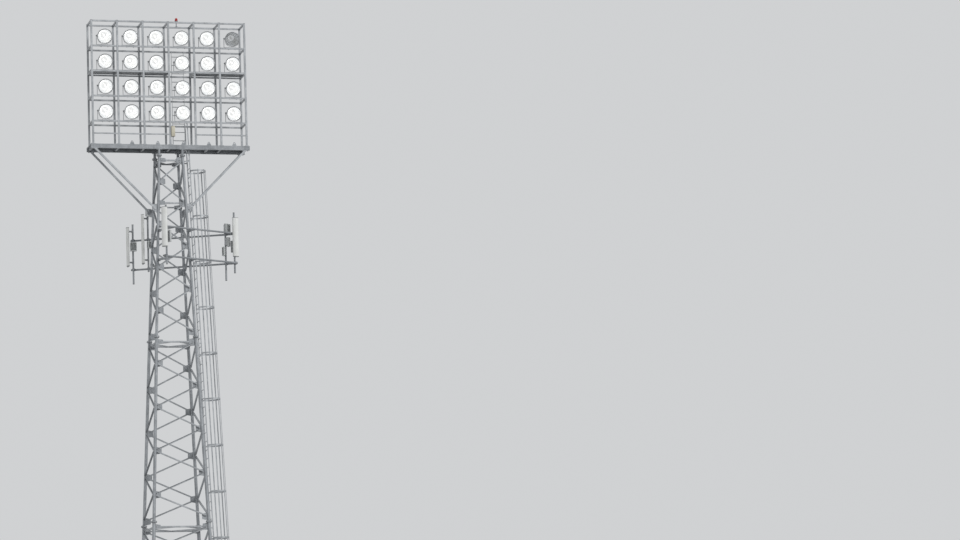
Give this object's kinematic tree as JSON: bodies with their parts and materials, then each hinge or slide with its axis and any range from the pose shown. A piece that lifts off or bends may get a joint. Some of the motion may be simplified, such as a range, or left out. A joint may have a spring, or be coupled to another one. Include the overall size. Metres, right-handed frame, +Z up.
{
  "type": "stadium floodlight pylon",
  "caption": "Square steel lattice floodlight pylon with a two-frame head of tilting floodlights, service walkways, caged ladder and panel antennas.",
  "frame": {"origin": "centre of the tower's foot, on the underside of the base frame at ground level", "axes": "+Z up, +X along the lamp rows towards the ladder side, -Y the way the floodlights face"},
  "size_m": [5.25, 3.3198, 28.755],
  "materials": {
    "galvanised_steel": "weathered hot-dip galvanised steel, matt grey with a faint spangle",
    "frame_steel": "hot-dip galvanised square tube, lighter than the tower",
    "grating": "galvanised open bar grating",
    "stirrup_steel": "galvanised flat bar, dull",
    "lamp_housing": "spun and die-cast aluminium, satin, weathered",
    "antenna_panel": "pale grey glass-fibre radome, satin",
    "radio_casing": "pale grey powder coat on a ribbed casting",
    "box_paint": "beige powder coat, faded",
    "red_lens": "ribbed red glass dome on a grey base"
  },
  "bodies": {
    "root": {"base_frame": "galvanised_steel", "tower_legs_1": "galvanised_steel", "tower_legs_2": "galvanised_steel", "tower_legs_3": "galvanised_steel", "tower_legs_4": "galvanised_steel", "bracing_front": "galvanised_steel", "bracing_right": "galvanised_steel", "bracing_rear": "galvanised_steel", "bracing_left": "galvanised_steel", "plan_bracing": "galvanised_steel", "ladder": "galvanised_steel", "ladder_brackets": "galvanised_steel", "ladder_cage": "galvanised_steel", "knee_braces": "galvanised_steel", "stub_posts": "galvanised_steel", "main_chords": "galvanised_steel", "platform_bearers": "galvanised_steel", "platform_floor": "grating", "lifting_lugs": "galvanised_steel", "frame_posts": "frame_steel", "frame_rails": "frame_steel", "cross_ties": "frame_steel", "upper_walkway": "grating", "knee_rails": "frame_steel", "inner_ladder": "galvanised_steel", "junction_box": "box_paint", "stirrups_row_1": "stirrup_steel", "stirrups_row_2": "stirrup_steel", "stirrups_row_3": "stirrup_steel", "stirrups_row_4": "stirrup_steel", "antenna_pipes": "galvanised_steel", "antenna_masts": "galvanised_steel", "panel_antennas": "antenna_panel", "radio_units": "radio_casing", "obstruction_light": "red_lens"},
    "lamp_r1c1_body": {"lamp_r1c1": "lamp_housing"},
    "lamp_r1c2_body": {"lamp_r1c2": "lamp_housing"},
    "lamp_r1c3_body": {"lamp_r1c3": "lamp_housing"},
    "lamp_r1c4_body": {"lamp_r1c4": "lamp_housing"},
    "lamp_r1c5_body": {"lamp_r1c5": "lamp_housing"},
    "lamp_r1c6_body": {"lamp_r1c6": "lamp_housing"},
    "lamp_r2c1_body": {"lamp_r2c1": "lamp_housing"},
    "lamp_r2c2_body": {"lamp_r2c2": "lamp_housing"},
    "lamp_r2c3_body": {"lamp_r2c3": "lamp_housing"},
    "lamp_r2c4_body": {"lamp_r2c4": "lamp_housing"},
    "lamp_r2c5_body": {"lamp_r2c5": "lamp_housing"},
    "lamp_r2c6_body": {"lamp_r2c6": "lamp_housing"},
    "lamp_r3c1_body": {"lamp_r3c1": "lamp_housing"},
    "lamp_r3c2_body": {"lamp_r3c2": "lamp_housing"},
    "lamp_r3c3_body": {"lamp_r3c3": "lamp_housing"},
    "lamp_r3c4_body": {"lamp_r3c4": "lamp_housing"},
    "lamp_r3c5_body": {"lamp_r3c5": "lamp_housing"},
    "lamp_r3c6_body": {"lamp_r3c6": "lamp_housing"},
    "lamp_r4c1_body": {"lamp_r4c1": "lamp_housing"},
    "lamp_r4c2_body": {"lamp_r4c2": "lamp_housing"},
    "lamp_r4c3_body": {"lamp_r4c3": "lamp_housing"},
    "lamp_r4c4_body": {"lamp_r4c4": "lamp_housing"},
    "lamp_r4c5_body": {"lamp_r4c5": "lamp_housing"},
    "lamp_r4c6_body": {"lamp_r4c6": "lamp_housing"}
  },
  "joints": [
    {"name": "tilt_r1c1", "type": "hinge", "parent": "root", "child": "lamp_r1c1_body", "pos_m": [-2.1125, -0.385, 27.93], "axis": [1, 0, 0], "range_deg": [-30, 30]},
    {"name": "tilt_r1c2", "type": "hinge", "parent": "root", "child": "lamp_r1c2_body", "pos_m": [-1.2675, -0.385, 27.93], "axis": [1, 0, 0], "range_deg": [-30, 30]},
    {"name": "tilt_r1c3", "type": "hinge", "parent": "root", "child": "lamp_r1c3_body", "pos_m": [-0.4225, -0.385, 27.93], "axis": [1, 0, 0], "range_deg": [-30, 30]},
    {"name": "tilt_r1c4", "type": "hinge", "parent": "root", "child": "lamp_r1c4_body", "pos_m": [0.4225, -0.385, 27.93], "axis": [1, 0, 0], "range_deg": [-30, 30]},
    {"name": "tilt_r1c5", "type": "hinge", "parent": "root", "child": "lamp_r1c5_body", "pos_m": [1.2675, -0.385, 27.93], "axis": [1, 0, 0], "range_deg": [-30, 30]},
    {"name": "tilt_r1c6", "type": "hinge", "parent": "root", "child": "lamp_r1c6_body", "pos_m": [2.1125, -0.385, 27.93], "axis": [1, 0, 0], "range_deg": [-30, 30]},
    {"name": "tilt_r2c1", "type": "hinge", "parent": "root", "child": "lamp_r2c1_body", "pos_m": [-2.1125, -0.385, 27.1], "axis": [1, 0, 0], "range_deg": [-30, 30]},
    {"name": "tilt_r2c2", "type": "hinge", "parent": "root", "child": "lamp_r2c2_body", "pos_m": [-1.2675, -0.385, 27.1], "axis": [1, 0, 0], "range_deg": [-30, 30]},
    {"name": "tilt_r2c3", "type": "hinge", "parent": "root", "child": "lamp_r2c3_body", "pos_m": [-0.4225, -0.385, 27.1], "axis": [1, 0, 0], "range_deg": [-30, 30]},
    {"name": "tilt_r2c4", "type": "hinge", "parent": "root", "child": "lamp_r2c4_body", "pos_m": [0.4225, -0.385, 27.1], "axis": [1, 0, 0], "range_deg": [-30, 30]},
    {"name": "tilt_r2c5", "type": "hinge", "parent": "root", "child": "lamp_r2c5_body", "pos_m": [1.2675, -0.385, 27.1], "axis": [1, 0, 0], "range_deg": [-30, 30]},
    {"name": "tilt_r2c6", "type": "hinge", "parent": "root", "child": "lamp_r2c6_body", "pos_m": [2.1125, -0.385, 27.1], "axis": [1, 0, 0], "range_deg": [-30, 30]},
    {"name": "tilt_r3c1", "type": "hinge", "parent": "root", "child": "lamp_r3c1_body", "pos_m": [-2.1125, -0.385, 26.27], "axis": [1, 0, 0], "range_deg": [-30, 30]},
    {"name": "tilt_r3c2", "type": "hinge", "parent": "root", "child": "lamp_r3c2_body", "pos_m": [-1.2675, -0.385, 26.27], "axis": [1, 0, 0], "range_deg": [-30, 30]},
    {"name": "tilt_r3c3", "type": "hinge", "parent": "root", "child": "lamp_r3c3_body", "pos_m": [-0.4225, -0.385, 26.27], "axis": [1, 0, 0], "range_deg": [-30, 30]},
    {"name": "tilt_r3c4", "type": "hinge", "parent": "root", "child": "lamp_r3c4_body", "pos_m": [0.4225, -0.385, 26.27], "axis": [1, 0, 0], "range_deg": [-30, 30]},
    {"name": "tilt_r3c5", "type": "hinge", "parent": "root", "child": "lamp_r3c5_body", "pos_m": [1.2675, -0.385, 26.27], "axis": [1, 0, 0], "range_deg": [-30, 30]},
    {"name": "tilt_r3c6", "type": "hinge", "parent": "root", "child": "lamp_r3c6_body", "pos_m": [2.1125, -0.385, 26.27], "axis": [1, 0, 0], "range_deg": [-30, 30]},
    {"name": "tilt_r4c1", "type": "hinge", "parent": "root", "child": "lamp_r4c1_body", "pos_m": [-2.1125, -0.385, 25.44], "axis": [1, 0, 0], "range_deg": [-30, 30]},
    {"name": "tilt_r4c2", "type": "hinge", "parent": "root", "child": "lamp_r4c2_body", "pos_m": [-1.2675, -0.385, 25.44], "axis": [1, 0, 0], "range_deg": [-30, 30]},
    {"name": "tilt_r4c3", "type": "hinge", "parent": "root", "child": "lamp_r4c3_body", "pos_m": [-0.4225, -0.385, 25.44], "axis": [1, 0, 0], "range_deg": [-30, 30]},
    {"name": "tilt_r4c4", "type": "hinge", "parent": "root", "child": "lamp_r4c4_body", "pos_m": [0.4225, -0.385, 25.44], "axis": [1, 0, 0], "range_deg": [-30, 30]},
    {"name": "tilt_r4c5", "type": "hinge", "parent": "root", "child": "lamp_r4c5_body", "pos_m": [1.2675, -0.385, 25.44], "axis": [1, 0, 0], "range_deg": [-30, 30]},
    {"name": "tilt_r4c6", "type": "hinge", "parent": "root", "child": "lamp_r4c6_body", "pos_m": [2.1125, -0.385, 25.44], "axis": [1, 0, 0], "range_deg": [-30, 30]}
  ]
}
